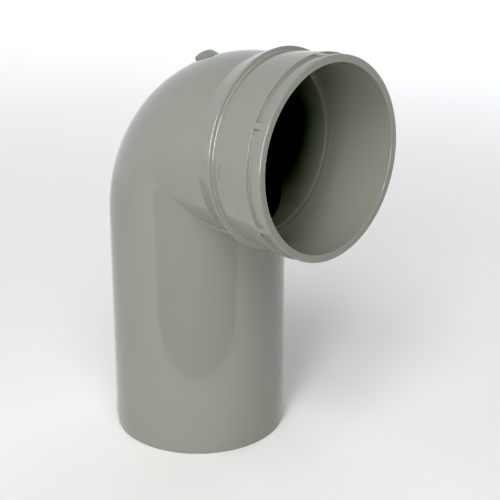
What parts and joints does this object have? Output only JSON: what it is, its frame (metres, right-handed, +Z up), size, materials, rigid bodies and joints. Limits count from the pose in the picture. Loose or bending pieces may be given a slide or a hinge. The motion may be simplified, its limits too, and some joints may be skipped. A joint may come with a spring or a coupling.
{
  "type": "pvc conduit elbow",
  "caption": "Large grey PVC elbow, just under a right angle, with a long plain spigot and a flared solvent-weld socket.",
  "frame": {"origin": "centre of the spigot's open end, which the part stands on", "axes": "+Z runs up the spigot's axis into the bend; the socket leaves towards +X, 2.5 degrees above level; the XZ plane is the plane of symmetry"},
  "size_m": [0.1661, 0.1202, 0.2608],
  "materials": {
    "upvc": "moulded grey uPVC, glossy"
  },
  "bodies": {
    "root": {"spigot_lead_in": "upvc", "spigot_tube": "upvc", "bend": "upvc", "socket_root": "upvc", "socket_flare": "upvc", "socket_barrel": "upvc", "groove_band": "upvc", "mouth_rim": "upvc", "alignment_rib_1": "upvc", "alignment_rib_2": "upvc", "alignment_rib_3": "upvc", "alignment_rib_4": "upvc", "alignment_rib_5": "upvc", "alignment_rib_6": "upvc", "crown_lug": "upvc"}
  },
  "joints": []
}
